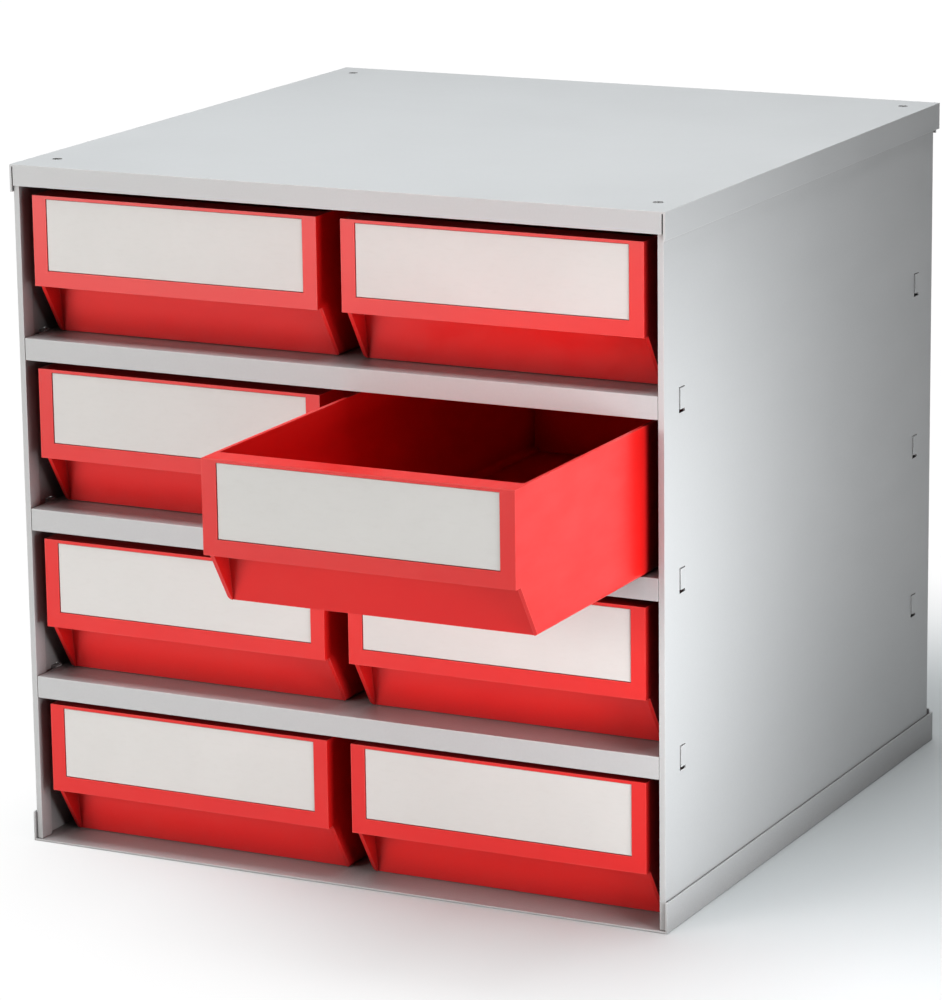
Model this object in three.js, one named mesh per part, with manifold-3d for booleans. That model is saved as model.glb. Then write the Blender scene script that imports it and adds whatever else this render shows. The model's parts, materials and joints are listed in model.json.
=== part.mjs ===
// Bin cabinet for small parts: a folded sheet-steel housing with plug-in shelves,
// and two columns of open-topped plastic drawers that slide on the shelves.
// Millimetres. X points right, Y to the back and Z up, so the front faces -Y.
// The origin is the centre of the housing's footprint on the ground.
// One drawer is pulled part of the way out.
import * as THREE from 'three';
import { mergeVertices } from 'three/addons/utils/BufferGeometryUtils.js';
import Module from 'manifold-3d';

const wasm = await Module();
wasm.setup();

// Housing, outside sizes
const WIDTH = 400;
const DEPTH = 400;
const HEIGHT = 395;
const LEVELS = 4;
const PITCH = HEIGHT / LEVELS;

// Sheets
const COVER_SHEET = 1.2; // top cover and bottom tray
const SHEET = 1.0; // side panels, shelves and back
const GAP = 0.3; // air between sheets that lie on each other
const OVER = 5; // how far a cutting tool runs past what it cuts
const OVER_SLOT = 1.25; // the same, inwards of a slot, clear of the front hem

// Top cover
const LID_FRONT_DROP = 12;
const LID_SIDE_DROP = 15.5;
const LID_REAR_DROP = 18;
const CORNER_SLIT = 0.8; // relief slit where two folded edges meet
const LID_SCREW_INSET = 15.5;
const LID_SCREW_FRONT = 26;
const LID_SCREW_REAR = 20;
const LID_HOLE_R = 2.9;

// Bottom tray
const TRAY_SIDE_RISE = 17.5;
const TRAY_REAR_RISE = 19.5;

// Side panels
const HEM_WIDTH = 3.4;
const HEM_RETURN = 10;
const PANEL_BEND = 3;
const REAR_RETURN = 14;
const TOP_RETURN = 22;
const FRONT_SETBACK = 1.5; // panels and shelves stand behind the cover's front edge
const REAR_SETBACK = 4;

// Shelves and the hooks that plug into the side panels
const SHELF_DROP = 12.7;
const SHELF_REAR = 10; // shelf's rear edge in front of the housing's rear edge
const SLOT_WIDTH = 7.4;
const SLOT_ABOVE = 1.3;
const SLOT_BELOW = 12.7;
const SLOT_FRONT = 21;
const SLOT_REAR = 35.4;
const TAB_WIDTH = 6; // shelf tabs sit against the front end of their slots
const TAB_BELOW = 10.6;
const TAB_PROUD = 0.5; // tabs stand out of the panel by this much

// Back panel and its rivets
const BACK_INSET = 2;
const RIVET_HEAD_R = 3;
const RIVET_HEAD_H = 0.9;
const RIVET_CROWN_R = 1.65; // flat top of the domed head
const RIVET_SHOULDER_R = 2.7;
const RIVET_SHOULDER_H = 0.54;
const RIVET_SHANK_R = 1.5;
const RIVET_TAIL_R = 2.3;
const RIVET_TAIL_H = 1.2;
const RIVET_HOLE_R = 1.85;
const RIVET_LEVELS = [60, HEIGHT / 2, HEIGHT - 60];

// Cover screws
const SCREW_HEAD_R = 2.5;
const SCREW_HEAD_H = 0.9;
const SCREW_SHANK_R = 1.4;
const SCREW_SHANK_H = 8;
const SCREW_HOLE_R = 1.75;
const SCREW_SLOT_W = 0.7;
const SCREW_SLOT_D = 0.45;
const SCREW_SLOT_REACH = 1.75; // from the axis to each end of the cross slot
const SCREW_SINK = 0.1; // head below the cover's face

// Drawers, in their own frame: y = 0 at the label frame, z = 0 under the floor
const DRAWER_W = 179.5;
const DRAWER_L = 392;
const DRAWER_H = 81.5;
const DRAWER_WALL = 2.2;
const DRAWER_FLOOR = 2.4;
const DRAWER_SPACING = 194.5;
const DRAWER_LIFT = 0.4; // running clearance over the shelf
const DRAWER_FRONT = 2; // closed label frame behind the housing's front edge
const BAND_BOTTOM = 30; // lower edge of the label frame
const BAND_SHEET = 3.4;
const CHEEK_STEP = 5.5; // side cheek behind the frame, at its lower edge
const TOE = 26; // foot of the front wall behind the label frame
const CHEEK_TOE = 25; // foot of the side cheeks behind the label frame
const CAP = 13; // depth of the cap between the frame and the front wall
const CAP_SHEET = 2;
const EDGE_R = 2.5; // rounding along the drawer's bottom edges
const INNER_R = 4;
const STOP_AT = 331; // front face of the raised shoulders that end the travel
const STOP_END = 386; // their rear face, clear of the shelf's rear flange when shut
const STOP_H = 7;
const STOP_INSET = 0.2;

// Label pocket and card
const LABEL_SIDE = 8.6;
const LABEL_TOP = 1.8;
const LABEL_BOTTOM = 8.9;
const LABEL_DEPTH = 1.6;
const CARD_SHEET = 0.8;

// The drawer that stands open, and how far
const OPEN_ROW = 2;
const OPEN_COLUMN = 'right';
const OPEN_BY = 156;

const RING = 20; // facets on round parts
const FILLET = 4; // facets on a quarter-round bend
const SNAP = 1e-4; // corners that should meet are rounded to the same grid

// Colours
const PAINT = 0xdfe1e0;
const RED = 0xd2161f;
const CARD = 0xe4e3de;
const STEEL = 0x8d8f90;

// --- solids ---------------------------------------------------------------

function solid(geometry) {
  geometry.deleteAttribute('normal');
  geometry.deleteAttribute('uv');
  const positions = geometry.attributes.position;
  positions.array.forEach((value, i) => {
    positions.array[i] = Math.round(value / SNAP) * SNAP;
  });
  const g = mergeVertices(geometry, SNAP / 10);
  const mesh = new wasm.Mesh({
    numProp: 3,
    vertProperties: new Float32Array(g.attributes.position.array),
    triVerts: new Uint32Array(g.index.array),
  });
  return new wasm.Manifold(mesh);
}

function geometryOf(body) {
  const m = body.getMesh();
  const g = new THREE.BufferGeometry();
  g.setAttribute('position', new THREE.BufferAttribute(new Float32Array(m.vertProperties), 3));
  g.setIndex(new THREE.BufferAttribute(new Uint32Array(m.triVerts), 1));
  g.computeVertexNormals();
  return g;
}

function box(x0, x1, y0, y1, z0, z1) {
  const g = new THREE.BoxGeometry(x1 - x0, y1 - y0, z1 - z0);
  g.translate((x0 + x1) / 2, (y0 + y1) / 2, (z0 + z1) / 2);
  return solid(g);
}

// A closed outline pushed straight along one axis.
// Along Z the outline is (x, y), along X it is (y, z) and along Y it is (x, z).
function extrude(outline, axis, from, to) {
  const options = { depth: to - from, bevelEnabled: false, curveSegments: FILLET };
  const g = new THREE.ExtrudeGeometry(outline, options);
  g.translate(0, 0, from);
  const turn = new THREE.Matrix4();
  if (axis === 'x') {
    turn.set(0, 0, 1, 0, 1, 0, 0, 0, 0, 1, 0, 0, 0, 0, 0, 1);
  }
  if (axis === 'y') {
    turn.set(1, 0, 0, 0, 0, 0, -1, 0, 0, 1, 0, 0, 0, 0, 0, 1);
    g.translate(0, 0, -from - to);
  }
  g.applyMatrix4(turn);
  return solid(g);
}

function outlineOf(points) {
  return new THREE.Shape(points.map(([a, b]) => new THREE.Vector2(a, b)));
}

// A straight round bar. axis is 'y' or 'z'.
function bar(radius, axis, a, b, from, to) {
  const g = new THREE.CylinderGeometry(radius, radius, to - from, RING);
  if (axis === 'z') {
    g.rotateX(Math.PI / 2);
    g.translate(a, b, (from + to) / 2);
  } else {
    g.translate(a, (from + to) / 2, b);
  }
  return solid(g);
}

function mirrorX(body) {
  return body.mirror([1, 0, 0]);
}

// --- housing --------------------------------------------------------------

const sideOut = WIDTH / 2 - COVER_SHEET - GAP;
const sideIn = sideOut - SHEET;
const frontFace = -DEPTH / 2;
const rearFace = DEPTH / 2;
const panelFront = frontFace + FRONT_SETBACK;
const panelRear = rearFace - REAR_SETBACK;
const panelBottom = COVER_SHEET + GAP;
const panelTop = HEIGHT - COVER_SHEET - GAP;
const lidUnder = HEIGHT - COVER_SHEET;
const flangeIn = WIDTH / 2 - COVER_SHEET;
const screwX = WIDTH / 2 - LID_SCREW_INSET;
const screwYs = [frontFace + LID_SCREW_FRONT, rearFace - LID_SCREW_REAR];
const slotYs = [frontFace + SLOT_FRONT, rearFace - SLOT_REAR];
const shelfTops = Array.from({ length: LEVELS - 1 }, (_, i) => (i + 1) * PITCH);

// Plan of the space inside a folded pan: a rectangle whose side edges run on as
// narrow relief slits at the folded ends. Without a front flange it runs out in front.
function panPlan(frontFlange) {
  const half = flangeIn;
  const slit = flangeIn - CORNER_SLIT;
  const past = rearFace + OVER;
  const rearIn = rearFace - COVER_SHEET;
  const frontIn = frontFace + COVER_SHEET;
  const rear = [[half, past], [slit, past], [slit, rearIn], [-slit, rearIn], [-slit, past], [-half, past]];
  const front = [
    [-half, -past],
    [-slit, -past],
    [-slit, frontIn],
    [slit, frontIn],
    [slit, -past],
    [half, -past],
  ];
  const open = [[-half, -past], [half, -past]];
  return outlineOf([...rear, ...(frontFlange ? front : open)]);
}

function topCover() {
  const bottom = HEIGHT - LID_REAR_DROP;
  const slitMid = flangeIn - CORNER_SLIT / 2;
  let lid = box(-WIDTH / 2, WIDTH / 2, frontFace, rearFace, bottom, HEIGHT);
  lid = lid.subtract(extrude(panPlan(true), 'z', bottom - OVER, lidUnder));
  lid = lid.subtract(box(-slitMid, slitMid, frontFace - OVER, frontFace + OVER,
    bottom - OVER, HEIGHT - LID_FRONT_DROP));
  const trim = box(slitMid, WIDTH / 2 + OVER, frontFace - OVER, rearFace + OVER,
    bottom - OVER, HEIGHT - LID_SIDE_DROP);
  lid = lid.subtract(trim).subtract(mirrorX(trim));
  for (const x of [-screwX, screwX]) {
    for (const y of screwYs) {
      lid = lid.subtract(bar(LID_HOLE_R, 'z', x, y, lidUnder - OVER, HEIGHT + OVER));
    }
  }
  return lid;
}

function bottomTray() {
  const slitMid = flangeIn - CORNER_SLIT / 2;
  const above = TRAY_REAR_RISE + OVER;
  const block = box(-WIDTH / 2, WIDTH / 2, frontFace, rearFace, 0, TRAY_REAR_RISE);
  const trim = box(slitMid, WIDTH / 2 + OVER, frontFace - OVER, rearFace + OVER, TRAY_SIDE_RISE, above);
  const space = extrude(panPlan(false), 'z', COVER_SHEET, above);
  return block.subtract(space).subtract(trim).subtract(mirrorX(trim));
}

// Plan of the right side panel: web, hem folded back at the front,
// rounded bend and inward return at the rear.
function panelPlan() {
  const hemIn = sideOut - HEM_WIDTH;
  const s = new THREE.Shape();
  s.moveTo(sideOut, panelFront);
  s.lineTo(sideOut, panelRear - PANEL_BEND);
  s.absarc(sideOut - PANEL_BEND, panelRear - PANEL_BEND, PANEL_BEND, 0, Math.PI / 2, false);
  s.lineTo(sideOut - REAR_RETURN, panelRear);
  s.lineTo(sideOut - REAR_RETURN, panelRear - SHEET);
  s.lineTo(sideOut - PANEL_BEND, panelRear - SHEET);
  s.absarc(sideOut - PANEL_BEND, panelRear - PANEL_BEND, PANEL_BEND - SHEET, Math.PI / 2, 0, true);
  s.lineTo(sideIn, panelFront + SHEET);
  s.lineTo(hemIn + SHEET, panelFront + SHEET);
  s.lineTo(hemIn + SHEET, panelFront + HEM_RETURN);
  s.lineTo(hemIn, panelFront + HEM_RETURN);
  s.lineTo(hemIn, panelFront);
  return s;
}

function rightPanel() {
  let panel = extrude(panelPlan(), 'z', panelBottom, panelTop);
  const returnIn = sideOut - TOP_RETURN;
  const returnFront = panelFront + HEM_RETURN + OVER;
  const returnRear = panelRear - PANEL_BEND - SHEET;
  const returnTop = panelTop - GAP;
  panel = panel.add(box(returnIn, sideOut - SHEET / 2, returnFront, returnRear,
    returnTop - SHEET, returnTop));
  for (const y of screwYs) {
    panel = panel.subtract(bar(SCREW_HOLE_R, 'z', screwX, y, panelTop - OVER, panelTop + OVER));
  }
  for (const z of RIVET_LEVELS) {
    const x = sideOut - REAR_RETURN / 2 - PANEL_BEND / 2;
    panel = panel.subtract(bar(RIVET_HOLE_R, 'y', x, z, panelRear - OVER, panelRear + OVER));
  }
  for (const top of shelfTops) {
    for (const y of slotYs) {
      const slot = box(sideIn - OVER_SLOT, sideOut + OVER, y, y + SLOT_WIDTH,
        top - SLOT_BELOW, top + SLOT_ABOVE);
      panel = panel.subtract(slot);
    }
  }
  return panel;
}

function backPanel() {
  const half = sideOut - BACK_INSET;
  const front = panelRear + GAP;
  let back = box(-half, half, front, front + SHEET, panelBottom, panelTop);
  for (const z of RIVET_LEVELS) {
    for (const side of [-1, 1]) {
      const x = side * (sideOut - REAR_RETURN / 2 - PANEL_BEND / 2);
      back = back.subtract(bar(RIVET_HOLE_R, 'y', x, z, front - OVER, front + SHEET + OVER));
    }
  }
  return back;
}

// A pan turned upside down, with a tab at each corner that goes into a slot.
function shelf(top) {
  const half = sideOut - HEM_WIDTH - GAP;
  const rear = rearFace - SHELF_REAR;
  const bottom = top - SHELF_DROP;
  let pan = box(-half, half, panelFront, rear, bottom, top);
  pan = pan.subtract(box(-half + SHEET, half - SHEET, panelFront + SHEET, rear - SHEET,
    bottom - OVER, top - SHEET));
  const tabOut = sideOut + GAP + TAB_PROUD;
  for (const y of slotYs) {
    const tab = box(half - SHEET / 2, tabOut, y + GAP, y + GAP + TAB_WIDTH,
      top - TAB_BELOW, top + SLOT_ABOVE - GAP);
    pan = pan.add(tab).add(mirrorX(tab));
  }
  return pan;
}

// Countersunk-style screw that sits flush in the cover.
function coverScrew(x, y) {
  const top = HEIGHT - SCREW_SINK;
  const under = top - SCREW_HEAD_H;
  let screw = bar(SCREW_HEAD_R, 'z', x, y, under, top);
  screw = screw.add(bar(SCREW_SHANK_R, 'z', x, y, top - SCREW_SHANK_H, under + SCREW_HEAD_H / 2));
  const slotHalf = SCREW_SLOT_W / 2;
  for (const [a, b] of [[SCREW_SLOT_REACH, slotHalf], [slotHalf, SCREW_SLOT_REACH]]) {
    screw = screw.subtract(box(x - a, x + a, y - b, y + b, top - SCREW_SLOT_D, top + OVER));
  }
  return screw;
}

// Blind rivet through the back panel and the side panel's return.
function backRivet(x, z) {
  const seat = panelRear + GAP + SHEET + GAP;
  const inner = panelRear - SHEET - GAP;
  const profile = [
    [0, seat + RIVET_HEAD_H],
    [RIVET_CROWN_R, seat + RIVET_HEAD_H],
    [RIVET_SHOULDER_R, seat + RIVET_SHOULDER_H],
    [RIVET_HEAD_R, seat],
    [RIVET_SHANK_R, seat],
    [RIVET_SHANK_R, inner],
    [RIVET_TAIL_R, inner],
    [RIVET_TAIL_R, inner - RIVET_TAIL_H],
    [0, inner - RIVET_TAIL_H],
  ].map(([r, y]) => new THREE.Vector2(r, y)).reverse();
  const g = new THREE.LatheGeometry(profile, RING);
  g.translate(x, 0, z);
  return solid(g);
}

// --- drawers --------------------------------------------------------------

// The front wall leans: its outer face runs from the cap's rear edge down to the toe.
function leanAt(z) {
  return TOE + (CAP - TOE) * (z / DRAWER_H);
}

function roundedTrough(half, floor, radius, top) {
  const s = new THREE.Shape();
  s.moveTo(half, top);
  s.lineTo(-half, top);
  s.lineTo(-half, floor + radius);
  s.absarc(-half + radius, floor + radius, radius, Math.PI, Math.PI * 1.5, false);
  s.lineTo(half - radius, floor);
  s.absarc(half - radius, floor + radius, radius, Math.PI * 1.5, Math.PI * 2, false);
  return s;
}

function drawerTray() {
  const half = DRAWER_W / 2;
  // outside: side outline crossed with the rounded cross-section
  const footRun = ((CHEEK_TOE - CHEEK_STEP) * OVER) / BAND_BOTTOM;
  const side = outlineOf([
    [0, BAND_BOTTOM],
    [CHEEK_STEP, BAND_BOTTOM],
    [CHEEK_TOE + footRun, -OVER],
    [DRAWER_L, -OVER],
    [DRAWER_L, DRAWER_H],
    [0, DRAWER_H],
  ]);
  const section = roundedTrough(half, 0, EDGE_R, DRAWER_H + OVER);
  let tray = extrude(side, 'x', -half - OVER, half + OVER);
  tray = tray.intersect(extrude(section, 'y', -OVER, DRAWER_L + OVER));
  // storage space behind the leaning front wall
  const above = DRAWER_H + OVER;
  const inner = outlineOf([
    [leanAt(-OVER) + DRAWER_WALL, -OVER],
    [DRAWER_L - DRAWER_WALL, -OVER],
    [DRAWER_L - DRAWER_WALL, above],
    [leanAt(above) + DRAWER_WALL, above],
  ]);
  const innerHalf = half - DRAWER_WALL;
  const innerSection = roundedTrough(innerHalf, DRAWER_FLOOR, INNER_R, above);
  const hollow = extrude(inner, 'x', -half, half).intersect(extrude(innerSection, 'y', 0, DRAWER_L));
  tray = tray.subtract(hollow);
  // finger pocket behind the label frame, open below
  const pocketTop = DRAWER_H - CAP_SHEET;
  const pocket = outlineOf([
    [-OVER, -OVER],
    [leanAt(-OVER), -OVER],
    [leanAt(pocketTop), pocketTop],
    [BAND_SHEET, pocketTop],
    [BAND_SHEET, BAND_BOTTOM - CAP_SHEET],
    [-OVER, BAND_BOTTOM - CAP_SHEET],
  ]);
  tray = tray.subtract(extrude(pocket, 'x', -innerHalf, innerHalf));
  // label pocket
  const labelHalf = half - LABEL_SIDE;
  tray = tray.subtract(box(-labelHalf, labelHalf, -OVER, LABEL_DEPTH,
    BAND_BOTTOM + LABEL_BOTTOM, DRAWER_H - LABEL_TOP));
  // raised rear shoulders that meet the shelf above when the drawer is fully out
  const shoulder = box(half - DRAWER_WALL + STOP_INSET, half - STOP_INSET, STOP_AT,
    STOP_END, DRAWER_H - CAP_SHEET, DRAWER_H + STOP_H);
  return tray.add(shoulder).add(mirrorX(shoulder));
}

function labelCard() {
  const half = DRAWER_W / 2 - LABEL_SIDE - GAP;
  const back = LABEL_DEPTH - GAP;
  return box(-half, half, back - CARD_SHEET, back,
    BAND_BOTTOM + LABEL_BOTTOM + GAP, DRAWER_H - LABEL_TOP - GAP);
}

// --- assembly -------------------------------------------------------------

const part = new THREE.Group();

function piece(name, body, color, roughness, metalness) {
  const material = new THREE.MeshStandardMaterial({ color, roughness, metalness });
  const mesh = new THREE.Mesh(geometryOf(body), material);
  mesh.name = name;
  part.add(mesh);
}

const paint = (name, body) => piece(name, body, PAINT, 0.45, 0.1);

paint('top_cover', topCover());
paint('bottom_tray', bottomTray());
paint('side_panel_right', rightPanel());
paint('side_panel_left', mirrorX(rightPanel()));
paint('back_panel', backPanel());
['shelf_lower', 'shelf_middle', 'shelf_upper'].forEach((name, i) => {
  paint(name, shelf(shelfTops[i]));
});

const sides = [['left', -1], ['right', 1]];
for (const [side, sign] of sides) {
  ['front', 'rear'].forEach((end, i) => {
    const screw = coverScrew(sign * screwX, screwYs[i]);
    piece(`cover_screw_${end}_${side}`, screw, STEEL, 0.35, 1);
  });
  ['low', 'mid', 'high'].forEach((level, i) => {
    const x = sign * (sideOut - REAR_RETURN / 2 - PANEL_BEND / 2);
    piece(`back_rivet_${level}_${side}`, backRivet(x, RIVET_LEVELS[i]), STEEL, 0.4, 1);
  });
}

for (let row = 1; row <= LEVELS; row += 1) {
  const onTray = row === LEVELS;
  const floor = onTray ? COVER_SHEET : (LEVELS - row) * PITCH;
  for (const [side, sign] of sides) {
    const open = row === OPEN_ROW && side === OPEN_COLUMN;
    const y = frontFace + DRAWER_FRONT - (open ? OPEN_BY : 0);
    const at = [sign * DRAWER_SPACING / 2, y, floor + DRAWER_LIFT];
    piece(`drawer_row${row}_${side}`, drawerTray().translate(at), RED, 0.35, 0);
    piece(`label_row${row}_${side}`, labelCard().translate(at), CARD, 0.8, 0);
  }
}

export default part;
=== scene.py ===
import json
import math

import bpy
from mathutils import Matrix, Vector


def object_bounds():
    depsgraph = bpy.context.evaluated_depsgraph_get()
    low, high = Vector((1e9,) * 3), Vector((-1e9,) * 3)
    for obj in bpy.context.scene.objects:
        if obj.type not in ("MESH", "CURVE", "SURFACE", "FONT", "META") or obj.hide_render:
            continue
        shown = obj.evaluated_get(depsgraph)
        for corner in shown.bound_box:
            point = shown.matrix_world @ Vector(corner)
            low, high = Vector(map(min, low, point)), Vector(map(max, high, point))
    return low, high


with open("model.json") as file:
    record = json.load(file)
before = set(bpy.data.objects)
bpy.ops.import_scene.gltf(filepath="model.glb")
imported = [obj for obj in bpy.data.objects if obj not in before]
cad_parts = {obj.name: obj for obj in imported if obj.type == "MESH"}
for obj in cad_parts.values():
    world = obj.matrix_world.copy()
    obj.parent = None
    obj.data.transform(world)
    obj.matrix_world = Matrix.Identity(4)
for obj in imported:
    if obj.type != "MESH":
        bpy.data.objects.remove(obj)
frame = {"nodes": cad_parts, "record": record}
CAD_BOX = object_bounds()
NODES = frame["nodes"]

# ---------------------------------------------------------------- node helpers


class Nodes:
    """A small writer for one shader node tree."""

    def __init__(self, name):
        self.material = bpy.data.materials.new(name)
        self.material.use_nodes = True
        self.tree = self.material.node_tree
        self.tree.nodes.clear()
        self.out = self.add("ShaderNodeOutputMaterial")
        self.bsdf = self.add("ShaderNodeBsdfPrincipled")
        self.join(self.bsdf.outputs["BSDF"], self.out.inputs["Surface"])
        self.place = self.add("ShaderNodeTexCoord").outputs["Object"]

    def add(self, kind, **settings):
        node = self.tree.nodes.new(kind)
        for key, value in settings.items():
            setattr(node, key, value)
        return node

    def join(self, source, target):
        self.tree.links.new(source, target)

    def put(self, socket, value):
        if hasattr(value, "is_output"):
            self.join(value, socket)
        else:
            socket.default_value = value

    def scaled(self, scale, turn=(0, 0, 0)):
        node = self.add("ShaderNodeMapping")
        self.join(self.place, node.inputs["Vector"])
        node.inputs["Scale"].default_value = scale
        node.inputs["Rotation"].default_value = turn
        return node.outputs["Vector"]

    def noise(self, scale, detail=3.0, rough=0.55, vector=None):
        node = self.add("ShaderNodeTexNoise")
        self.join(vector or self.place, node.inputs["Vector"])
        node.inputs["Scale"].default_value = scale
        node.inputs["Detail"].default_value = detail
        node.inputs["Roughness"].default_value = rough
        return node.outputs["Fac"]

    def remap(self, value, low, high, to_low=0.0, to_high=1.0):
        node = self.add("ShaderNodeMapRange", clamp=True)
        self.join(value, node.inputs["Value"])
        node.inputs["From Min"].default_value = low
        node.inputs["From Max"].default_value = high
        node.inputs["To Min"].default_value = to_low
        node.inputs["To Max"].default_value = to_high
        return node.outputs["Result"]

    def maths(self, operation, a, b=0.0):
        node = self.add("ShaderNodeMath", operation=operation)
        self.put(node.inputs[0], a)
        self.put(node.inputs[1], b)
        return node.outputs[0]

    def mix(self, factor, a, b):
        node = self.add("ShaderNodeMix", data_type="RGBA")
        self.put(node.inputs[0], factor)
        self.put(node.inputs[6], a)
        self.put(node.inputs[7], b)
        return node.outputs[2]

    def bump(self, height, distance, strength=1.0, under=None):
        node = self.add("ShaderNodeBump")
        self.join(height, node.inputs["Height"])
        node.inputs["Distance"].default_value = distance
        node.inputs["Strength"].default_value = strength
        if under is not None:
            self.join(under, node.inputs["Normal"])
        return node.outputs["Normal"]

    def edges(self, radius):
        """1 along sharp outer edges, 0 on flat faces."""
        soft = self.add("ShaderNodeBevel", samples=6)
        soft.inputs["Radius"].default_value = radius
        plain = self.add("ShaderNodeNewGeometry").outputs["Normal"]
        dot = self.add("ShaderNodeVectorMath", operation="DOT_PRODUCT")
        self.join(soft.outputs["Normal"], dot.inputs[0])
        self.join(plain, dot.inputs[1])
        return self.remap(dot.outputs["Value"], 0.99, 0.86)

    def corners(self, reach):
        """1 in the open, 0 deep in a corner."""
        node = self.add("ShaderNodeAmbientOcclusion", samples=6)
        node.inputs["Distance"].default_value = reach
        return node.outputs["AO"]


# ---------------------------------------------------------------- materials


def painted_steel():
    n = Nodes("housing_paint")
    cloud = n.noise(3.2, 3.0)
    speck = n.noise(900.0, 2.0, 0.6)
    base = n.mix(n.remap(cloud, 0.3, 0.7), (0.593, 0.607, 0.614, 1), (0.608, 0.622, 0.629, 1))
    base = n.mix(n.remap(speck, 0.35, 0.65, 0.0, 0.12), base, (0.5, 0.51, 0.515, 1))
    # powder coat pulls thin on a folded edge, and handling polishes it
    worn = n.maths("MULTIPLY", n.edges(0.0011), n.remap(n.noise(34.0, 4.0), 0.36, 0.62, 0.15, 0.75))
    base = n.mix(worn, base, (0.78, 0.785, 0.785, 1))
    # painted shade: the paint goes dark in corners, recesses and between parts, where shade falls
    painted_corner_shade = n.remap(n.corners(0.045), 0.2, 0.8, 0.82, 0.0)
    base = n.mix(painted_corner_shade, base, (0.13, 0.11, 0.105, 1))
    n.put(n.bsdf.inputs["Base Color"], base)
    rub = n.noise(22.0, 5.0, 0.6, n.scaled((1.0, 1.0, 3.5)))
    rough = n.maths("ADD", n.remap(rub, 0.3, 0.72, 0.4, 0.47), n.remap(cloud, 0.3, 0.7, -0.01, 0.015))
    n.put(n.bsdf.inputs["Roughness"], rough)
    peel = n.noise(640.0, 2.0, 0.5)
    drift = n.noise(7.0, 1.0, 0.4)
    n.put(n.bsdf.inputs["Normal"], n.bump(drift, 0.0004, 0.12, n.bump(peel, 0.00007, 0.5)))
    n.bsdf.inputs["IOR"].default_value = 1.48
    n.bsdf.inputs["Specular IOR Level"].default_value = 0.35
    return n.material


def drawer_plastic():
    n = Nodes("drawer_plastic")
    cloud = n.noise(9.0, 3.0)
    flow = n.noise(16.0, 4.0, 0.55, n.scaled((1.0, 0.22, 2.2)))
    base = n.mix(n.remap(cloud, 0.3, 0.7), (0.79, 0.0105, 0.0105, 1), (0.85, 0.0135, 0.012, 1))
    base = n.mix(n.remap(flow, 0.42, 0.68, 0.0, 0.2), base, (0.84, 0.034, 0.02, 1))
    # knocked edges of the moulding go paler
    worn = n.maths("MULTIPLY", n.edges(0.0012), n.remap(n.noise(48.0, 4.0), 0.38, 0.64, 0.1, 0.5))
    base = n.mix(worn, base, (0.88, 0.12, 0.1, 1))
    # painted shade: the plastic goes dark in corners and recesses and where a drawer meets the housing
    painted_recess_shade = n.remap(n.corners(0.025), 0.15, 0.75, 0.8, 0.0)
    base = n.mix(painted_recess_shade, base, (0.1, 0.004, 0.007, 1))
    n.put(n.bsdf.inputs["Base Color"], base)
    scuff = n.noise(75.0, 5.0, 0.65, n.scaled((1.0, 0.3, 1.0), (0.0, 0.0, 0.35)))
    n.put(n.bsdf.inputs["Roughness"], n.remap(scuff, 0.3, 0.75, 0.29, 0.42))
    grain = n.noise(1300.0, 2.0, 0.5)
    sink = n.noise(11.0, 1.0, 0.4)
    n.put(n.bsdf.inputs["Normal"], n.bump(sink, 0.0007, 0.22, n.bump(grain, 0.00004, 0.35)))
    n.bsdf.inputs["IOR"].default_value = 1.49
    n.bsdf.inputs["Subsurface Weight"].default_value = 0.06
    n.bsdf.inputs["Subsurface Radius"].default_value = (0.004, 0.0008, 0.0006)
    return n.material


def label_card():
    n = Nodes("label_card")
    fibre = n.noise(420.0, 5.0, 0.65, n.scaled((0.35, 1.0, 1.0)))
    pulp = n.noise(38.0, 4.0)
    base = n.mix(n.remap(pulp, 0.3, 0.7), (0.775, 0.77, 0.752, 1), (0.795, 0.79, 0.772, 1))
    base = n.mix(n.remap(fibre, 0.5, 0.75, 0.0, 0.12), base, (0.66, 0.645, 0.61, 1))
    # painted shade: the card goes darker along its border inside the frame's recess
    painted_border_shade = n.remap(n.corners(0.004), 0.3, 0.8, 0.22, 0.0)
    base = n.mix(painted_border_shade, base, (0.5, 0.44, 0.42, 1))
    n.put(n.bsdf.inputs["Base Color"], base)
    n.put(n.bsdf.inputs["Roughness"], n.remap(fibre, 0.3, 0.7, 0.62, 0.82))
    n.put(n.bsdf.inputs["Normal"], n.bump(pulp, 0.00006, 0.2, n.bump(fibre, 0.00002, 0.5)))
    return n.material


def plated_steel():
    n = Nodes("fastener_steel")
    turned = n.noise(900.0, 3.0, 0.6, n.scaled((1.0, 0.08, 1.0)))
    cloud = n.noise(160.0, 3.0)
    base = n.mix(n.remap(cloud, 0.3, 0.7), (0.4, 0.4, 0.4, 1), (0.56, 0.56, 0.55, 1))
    # painted shade: the steel goes near black in its hollows
    painted_hollow_shade = n.remap(n.corners(0.002), 0.2, 0.8, 0.7, 0.0)
    base = n.mix(painted_hollow_shade, base, (0.07, 0.07, 0.07, 1))
    n.put(n.bsdf.inputs["Base Color"], base)
    n.put(n.bsdf.inputs["Roughness"], n.remap(turned, 0.3, 0.7, 0.26, 0.46))
    n.put(n.bsdf.inputs["Normal"], n.bump(turned, 0.00003, 0.6))
    n.bsdf.inputs["Metallic"].default_value = 1.0
    return n.material


LOOKS = {
    "housing_paint": painted_steel(),
    "drawer_plastic": drawer_plastic(),
    "label_card": label_card(),
    "fastener_steel": plated_steel(),
}

# ---------------------------------------------------------------- edges

WELD_WITHIN = 1e-6  # corners closer than this are one corner, in metres
FLAT_WITHIN = math.radians(0.4)  # faces this close to flat become one face
ROUNDED_OVER = math.radians(38)  # edges sharper than this are rounded
NORMAL_WEIGHT = 90

# width of the rounding on each material's edges, in metres, and its steps
ROUNDING = {
    "housing_paint": (0.00028, 2),
    "drawer_plastic": (0.00055, 3),
    "label_card": (0.00012, 1),
    "fastener_steel": (0.00015, 2),
}


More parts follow.
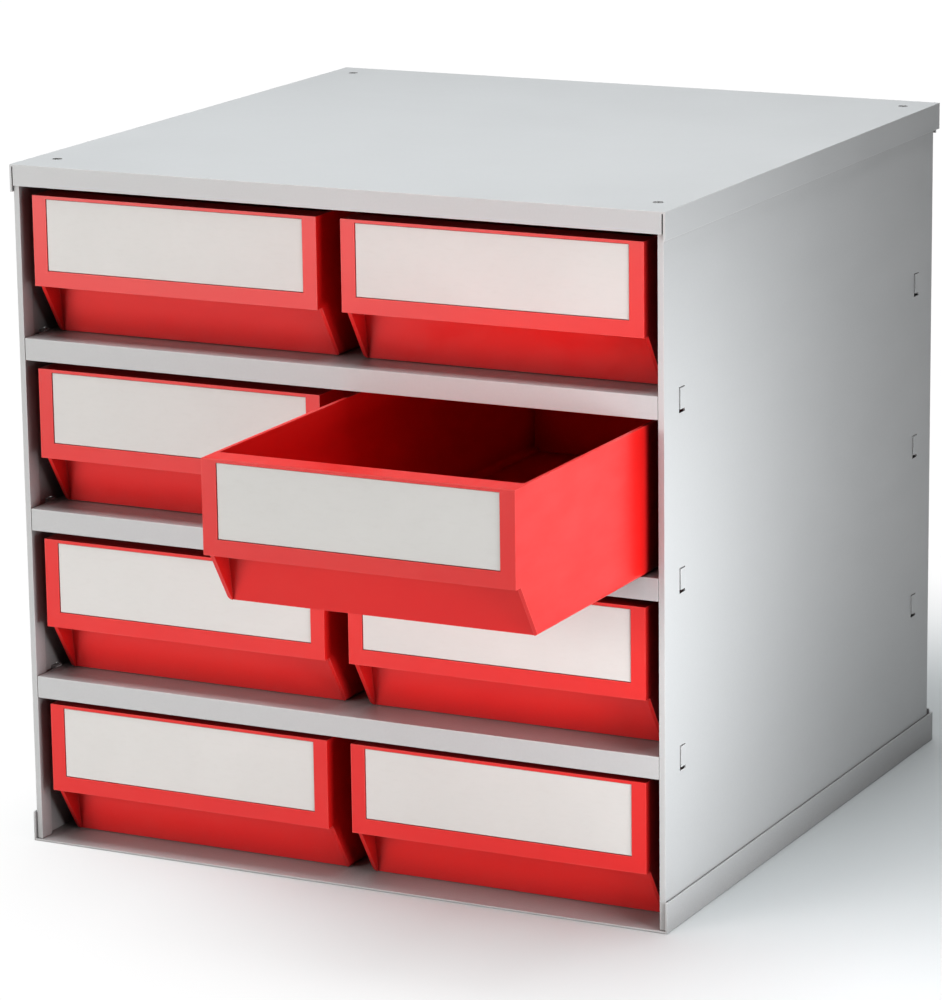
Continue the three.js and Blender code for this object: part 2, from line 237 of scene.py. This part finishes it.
def smooth_shading():
    tree = bpy.data.node_groups.new("smooth_shading", "GeometryNodeTree")
    tree.interface.new_socket("Geometry", in_out="INPUT", socket_type="NodeSocketGeometry")
    tree.interface.new_socket("Geometry", in_out="OUTPUT", socket_type="NodeSocketGeometry")
    start = tree.nodes.new("NodeGroupInput")
    end = tree.nodes.new("NodeGroupOutput")
    smooth = tree.nodes.new("GeometryNodeSetShadeSmooth")
    tree.links.new(start.outputs[0], smooth.inputs["Geometry"])
    tree.links.new(smooth.outputs["Geometry"], end.inputs[0])
    return tree


SMOOTH = smooth_shading()


def soften(node, slot):
    width, steps = ROUNDING[slot]
    weld = node.modifiers.new("weld", "WELD")
    weld.merge_threshold = WELD_WITHIN
    flat = node.modifiers.new("flat_faces", "DECIMATE")
    flat.decimate_type = "DISSOLVE"
    flat.angle_limit = FLAT_WITHIN
    bevel = node.modifiers.new("edges", "BEVEL")
    bevel.width = width
    bevel.segments = steps
    bevel.limit_method = "ANGLE"
    bevel.angle_limit = ROUNDED_OVER
    shade = node.modifiers.new("smooth", "NODES")
    shade.node_group = SMOOTH
    normals = node.modifiers.new("normals", "WEIGHTED_NORMAL")
    normals.weight = NORMAL_WEIGHT
    normals.keep_sharp = False


for entry in frame["record"]["subparts"]:
    node = NODES[entry["node"]]
    slot = entry["material_slot"]
    node.data.materials.clear()
    node.data.materials.append(LOOKS[slot])
    soften(node, slot)

# ---------------------------------------------------------------- floor

FLOOR_REACH = 30.0
FLOOR_DROP = 0.0002  # the floor lies just clear of the tray's underside
SHADED_MIDDLE = (("X", 0.23), ("Y", 0.09))  # middle of the patch that shows light and shade
SHADED_HALF = 0.2
SHADED_FADE = 0.33  # the patch runs out into white over this distance
WHITE_GLOW = 1.02
FLOOR_FRONT, FLOOR_BACK = -0.7, 0.0  # the floor is mirrored dimly in front and fully behind
FRONT_MIRRORED = 0.25


def floor_material():
    """Pale floor round the object that runs out into an even white."""
    n = Nodes("floor")
    cloud = n.noise(1.4, 2.0)
    pale = n.mix(n.remap(cloud, 0.3, 0.7), (0.775, 0.81, 0.82, 1), (0.795, 0.83, 0.84, 1))
    path = n.add("ShaderNodeLightPath")
    split = n.add("ShaderNodeSeparateXYZ")
    n.join(n.place, split.inputs[0])
    # the floor shows pale and is mirrored pale behind, and throws back less light than that
    behind = n.remap(split.outputs["Y"], FLOOR_FRONT, FLOOR_BACK, FRONT_MIRRORED, 1.0)
    mirrored = n.maths("MULTIPLY", path.outputs["Is Glossy Ray"], behind)
    seen = n.maths("MAXIMUM", path.outputs["Is Camera Ray"], mirrored)
    n.put(n.bsdf.inputs["Base Color"], n.mix(seen, (0.36, 0.36, 0.36, 1), pale))
    n.bsdf.inputs["Roughness"].default_value = 0.6
    n.bsdf.inputs["Specular IOR Level"].default_value = 0.2
    past = []
    for axis, middle in SHADED_MIDDLE:
        off = n.maths("ABSOLUTE", n.maths("SUBTRACT", split.outputs[axis], middle))
        past.append(n.maths("MAXIMUM", n.maths("SUBTRACT", off, SHADED_HALF), 0.0))
    square = n.maths("ADD", n.maths("POWER", past[0], 2.0), n.maths("POWER", past[1], 2.0))
    away = n.add("ShaderNodeMapRange", interpolation_type="SMOOTHSTEP")
    n.join(n.maths("SQRT", square), away.inputs["Value"])
    away.inputs["From Min"].default_value = 0.0
    away.inputs["From Max"].default_value = SHADED_FADE
    glow = n.add("ShaderNodeEmission")
    glow.inputs["Strength"].default_value = WHITE_GLOW
    blend = n.add("ShaderNodeMixShader")
    n.join(n.maths("MULTIPLY", away.outputs["Result"], seen), blend.inputs[0])
    n.join(n.bsdf.outputs["BSDF"], blend.inputs[1])
    n.join(glow.outputs["Emission"], blend.inputs[2])
    n.join(blend.outputs["Shader"], n.out.inputs["Surface"])
    return n.material


def make_floor():
    near, far = -FLOOR_REACH, FLOOR_REACH
    corners = [(near, near, 0), (far, near, 0), (far, far, 0), (near, far, 0)]
    mesh = bpy.data.meshes.new("floor")
    mesh.from_pydata(corners, [], [(0, 1, 2, 3)])
    mesh.materials.append(floor_material())
    floor = bpy.data.objects.new("floor", mesh)
    floor.location.z = CAD_BOX[0].z - FLOOR_DROP
    bpy.context.scene.collection.objects.link(floor)


make_floor()

# ---------------------------------------------------------------- light

MIDDLE = Vector((0.0, 0.0, 0.2))
SKY_LIGHT = 0.08  # the background lights the object this much
SKY_SEEN = 1.0  # and looks this bright


def softbox(name, at, size, power, color=(1, 1, 1), aim=MIDDLE, spread=180, mirrored=True):
    """A soft rectangular lamp, sizes in metres, power in watts, spread in degrees."""
    data = bpy.data.lights.new(name, "AREA")
    data.shape = "RECTANGLE"
    data.size, data.size_y = size
    data.energy = power
    data.color = color
    data.spread = math.radians(spread)
    light = bpy.data.objects.new(name, data)
    light.location = at
    light.rotation_mode = "QUATERNION"
    light.rotation_quaternion = (aim - Vector(at)).to_track_quat("-Z", "Y")
    light.visible_camera = False
    light.visible_glossy = mirrored
    bpy.context.scene.collection.objects.link(light)


softbox("overhead", (0.0, -0.15, 1.55), (0.9, 0.9), 19, (0.975, 0.99, 1.0), Vector((0, -0.1, 0.4)))
softbox("front_left", (-1.2, -2.1, 0.5), (1.2, 0.7), 32, (1.0, 0.98, 0.955))
softbox("back_left", (-0.7, 2.0, 0.7), (1.2, 0.9), 14, (0.98, 0.99, 1.0), mirrored=False)
softbox(
    "right_panel", (0.6, -0.36, 0.17), (0.25, 0.3), 1.08, (0.98, 0.99, 1.0),
    aim=Vector((0.2, -0.25, 0.2)), spread=108, mirrored=False,
)

world = bpy.data.worlds.new("studio")
world.use_nodes = True
sky = world.node_tree
lit = sky.nodes["Background"]
lit.inputs["Color"].default_value = (1, 1, 1, 1)
lit.inputs["Strength"].default_value = SKY_LIGHT
seen = sky.nodes.new("ShaderNodeBackground")
seen.inputs["Color"].default_value = (1, 1, 1, 1)
seen.inputs["Strength"].default_value = SKY_SEEN
which = sky.nodes.new("ShaderNodeMixShader")
sky.links.new(sky.nodes.new("ShaderNodeLightPath").outputs["Is Camera Ray"], which.inputs[0])
sky.links.new(lit.outputs["Background"], which.inputs[1])
sky.links.new(seen.outputs["Background"], which.inputs[2])
sky.links.new(which.outputs["Shader"], sky.nodes["World Output"].inputs["Surface"])
bpy.context.scene.world = world
bpy.context.scene.view_settings.view_transform = "Standard"

# ---------------------------------------------------------------- camera

CAMERA_AT = (1.1513, -2.3223, 0.8096)
SENSOR = 36  # along the frame's long side, in millimetres
FOCAL = 4.5407  # focal length over the sensor
NEAREST, FARTHEST = 0.1, 100
YAW, PITCH, ROLL = math.radians(26.672), math.radians(13.712), math.radians(-0.766)

camera_data = bpy.data.cameras.new("camera")
camera_data.sensor_width = SENSOR
camera_data.lens = FOCAL * SENSOR
camera_data.clip_start, camera_data.clip_end = NEAREST, FARTHEST
camera = bpy.data.objects.new("camera", camera_data)
forward = Vector((-math.sin(YAW) * math.cos(PITCH), math.cos(YAW) * math.cos(PITCH), -math.sin(PITCH)))
right = forward.cross(Vector((0, 0, 1))).normalized()
up = right.cross(forward)
side = right * math.cos(ROLL) + up * math.sin(ROLL)
top = up * math.cos(ROLL) - right * math.sin(ROLL)
turn = Matrix((side, top, -forward)).transposed()
camera.matrix_world = Matrix.Translation(CAMERA_AT) @ turn.to_4x4()
bpy.context.scene.collection.objects.link(camera)
bpy.context.scene.camera = camera
